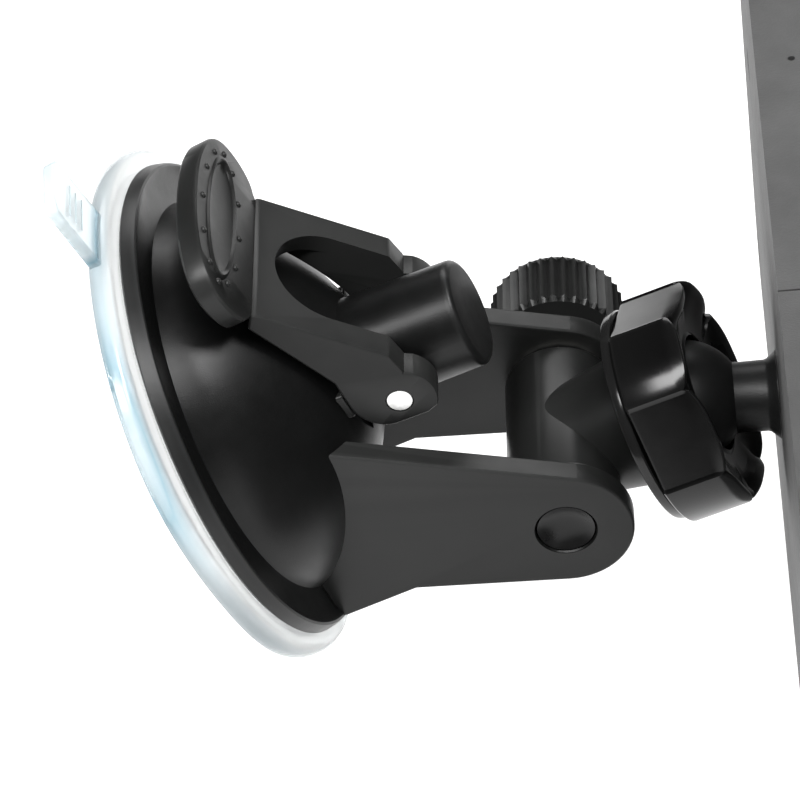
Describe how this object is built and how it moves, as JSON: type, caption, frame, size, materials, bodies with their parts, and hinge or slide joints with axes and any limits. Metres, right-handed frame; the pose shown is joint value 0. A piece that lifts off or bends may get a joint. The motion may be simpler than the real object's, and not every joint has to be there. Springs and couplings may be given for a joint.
{
  "type": "dash camera",
  "caption": "Wide-display dash camera on a suction-cup windscreen mount with a locking lever, clevis arms, knurled knob and a ball joint with a lobed locking nut.",
  "frame": {"origin": "centre of the suction pad's sealing face", "axes": "+X out of the glass along the cup's axis, +Y along the clevis axis and the camera's width, +Z towards the locking lever"},
  "size_m": [0.1016, 0.18, 0.1336],
  "materials": {
    "black_plastic": "satin moulded, fine spark texture",
    "gloss_plastic": "polished moulded",
    "shell_plastic": "matt textured",
    "clear_gel": "clear with a pale blue edge",
    "rubber": "matt",
    "nylon": "natural nylon",
    "steel": "turned",
    "brass": "knurled insert",
    "screen": "black cover glass",
    "lens": "coated glass",
    "dark_plastic": "matt",
    "circuit_board": "solder mask",
    "silver_metal": "plated"
  },
  "bodies": {
    "cup": {"suction_pad": "clear_gel", "cup_housing": "black_plastic", "clevis_bolt": "steel", "near_washer": "nylon", "far_washer": "nylon"},
    "pull_rod": {"pull_rod": "black_plastic", "pad_boss": "rubber", "lever_pin": "steel"},
    "lever": {"suction_lever": "black_plastic"},
    "knob": {"clevis_knob": "black_plastic", "knob_insert": "brass"},
    "neck": {"swivel_neck": "black_plastic"},
    "nut": {"locking_nut": "gloss_plastic"},
    "ball_core": {"ball_core": "steel"},
    "ball": {"ball_stem": "black_plastic", "stem_stud": "steel"},
    "camera": {"rear_cover": "shell_plastic", "front_bezel": "shell_plastic", "screen_glass": "screen", "display_panel": "dark_plastic", "main_board": "circuit_board", "battery": "silver_metal", "speaker": "dark_plastic", "microphone": "silver_metal", "usb_port": "silver_metal", "audio_jack": "dark_plastic", "card_reader": "silver_metal", "mount_insert": "brass", "cover_screw_1": "steel", "cover_screw_2": "steel", "cover_screw_3": "steel", "cover_screw_4": "steel"},
    "lens": {"lens_drum": "black_plastic", "lens_ring": "shell_plastic", "lens_glass": "lens", "sensor_board": "circuit_board"},
    "power_key": {"power_button": "shell_plastic"},
    "menu_key": {"menu_button": "shell_plastic"},
    "lock_key": {"lock_button": "shell_plastic"},
    "door": {"port_door": "rubber"},
    "card": {"memory_card": "dark_plastic"}
  },
  "joints": [
    {"name": "lever_turn", "type": "hinge", "parent": "pull_rod", "child": "lever", "pos_m": [0.0281, 0, -0.0005], "axis": [0, 1, 0], "range_deg": [0, 90]},
    {"name": "rod_slide", "type": "slide", "parent": "cup", "child": "pull_rod", "axis": [-1, 0, 0], "range_m": [0, 0.003]},
    {"name": "knob_turn", "type": "hinge", "parent": "cup", "child": "knob", "pos_m": [0.0398, 0, -0.0277], "axis": [0, 1, 0], "range_deg": [0, 270]},
    {"name": "neck_swing", "type": "hinge", "parent": "cup", "child": "neck", "pos_m": [0.0398, 0, -0.0277], "axis": [0, 1, 0], "range_deg": [-15, 25]},
    {"name": "nut_turn", "type": "hinge", "parent": "neck", "child": "nut", "pos_m": [0.0581, 0, -0.0277], "axis": [1, 0, 0], "range_deg": [0, 120]},
    {"name": "ball_pan", "type": "hinge", "parent": "neck", "child": "ball_core", "pos_m": [0.0581, 0, -0.0277], "axis": [0, 0, 1], "range_deg": [-12, 12]},
    {"name": "ball_tilt", "type": "hinge", "parent": "ball_core", "child": "ball", "pos_m": [0.0581, 0, -0.0277], "axis": [0, 1, 0], "range_deg": [-30, 1.5]},
    {"name": "camera_roll", "type": "hinge", "parent": "ball", "child": "camera", "pos_m": [0.0703, 0, -0.03219], "axis": [0.9385, 0, -0.3453], "range_deg": [-30, 30]},
    {"name": "lens_tilt", "type": "hinge", "parent": "camera", "child": "lens", "pos_m": [0.08357, 0.075, -0.00191], "axis": [0, 1, 0], "range_deg": [-18, 18]},
    {"name": "power_press", "type": "slide", "parent": "camera", "child": "power_key", "axis": [-0.3453, 0, -0.9385], "range_m": [0, 0.0004], "stiffness_N_per_m": 900},
    {"name": "menu_press", "type": "slide", "parent": "camera", "child": "menu_key", "axis": [-0.3453, 0, -0.9385], "range_m": [0, 0.0004], "stiffness_N_per_m": 900},
    {"name": "lock_press", "type": "slide", "parent": "camera", "child": "lock_key", "axis": [-0.3453, 0, -0.9385], "range_m": [0, 0.0004], "stiffness_N_per_m": 900},
    {"name": "door_turn", "type": "hinge", "parent": "camera", "child": "door", "pos_m": [0.09601, -0.0596, 0.01163], "axis": [0, 1, 0], "range_deg": [0, 100]},
    {"name": "card_push", "type": "slide", "parent": "camera", "child": "card", "axis": [-0.3453, 0, -0.9385], "range_m": [0, 0.0008], "stiffness_N_per_m": 400}
  ],
  "couplings": [
    {"joint": "rod_slide", "follows": "lever_turn", "m_per_rad": 0.0019099}
  ]
}
